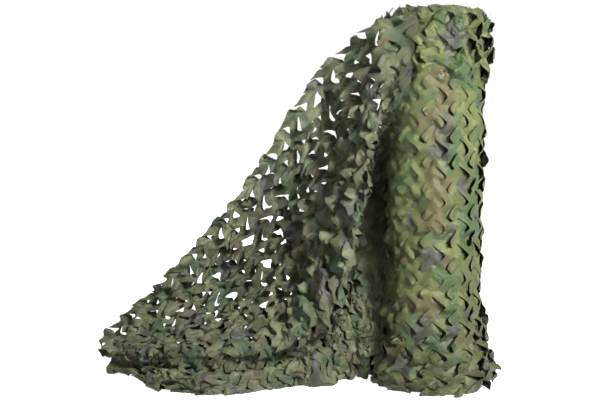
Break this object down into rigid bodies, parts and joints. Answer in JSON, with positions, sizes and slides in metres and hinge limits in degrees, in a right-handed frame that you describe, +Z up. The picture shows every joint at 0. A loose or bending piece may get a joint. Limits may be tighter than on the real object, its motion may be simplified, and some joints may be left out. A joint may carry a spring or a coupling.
{
  "type": "camouflage netting roll",
  "caption": "Leaf-cut camouflage netting wound into an upright roll, with its loose end drawn off to one side, sloping down and lying on the ground in folds",
  "frame": {"origin": "on the ground, at the middle of the roll's flat lower end", "axes": "+Z up along the roll, +X to the roll's right so that the loose end runs towards -X, +Y towards the back"},
  "size_m": [1.7126, 0.6344, 1.496],
  "materials": {
    "netting_wound": "printed green, tan and grey camouflage, lightly coated cloth with a faint sheen",
    "netting_loose": "printed green, tan and grey camouflage, lightly coated cloth with a faint sheen; greyer on its reverse"
  },
  "bodies": {
    "root": {"roll": "netting_wound", "loose_end": "netting_loose"}
  },
  "joints": []
}
